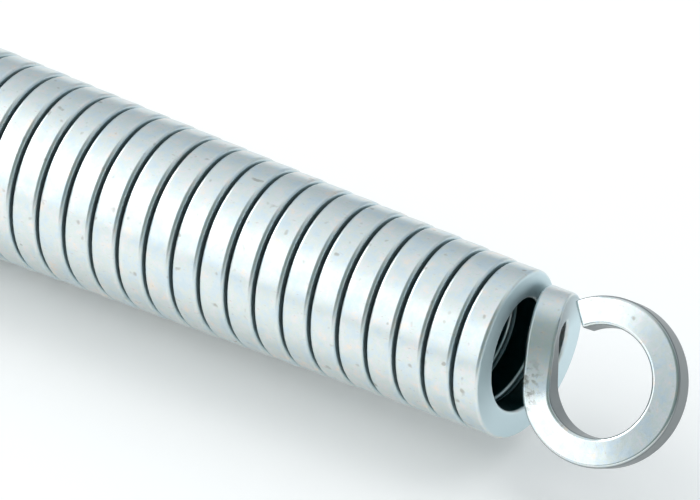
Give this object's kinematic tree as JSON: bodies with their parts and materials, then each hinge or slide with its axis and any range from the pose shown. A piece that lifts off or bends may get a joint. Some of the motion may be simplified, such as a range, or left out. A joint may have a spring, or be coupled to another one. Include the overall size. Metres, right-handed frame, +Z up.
{
  "type": "pipe bending spring",
  "caption": "Close-wound square-wire spring that slides inside a tube to keep it round while it is bent, tapered to a pull eye.",
  "frame": {"origin": "under the middle of the spring's length, on the surface that it lies on", "axes": "+X along the spring's axis towards the pull eye, +Z up"},
  "size_m": [0.2, 0.0192, 0.0193],
  "materials": {
    "zinc_wire": "bright zinc plate"
  },
  "bodies": {
    "root": {"bending_spring": "zinc_wire"}
  },
  "joints": []
}
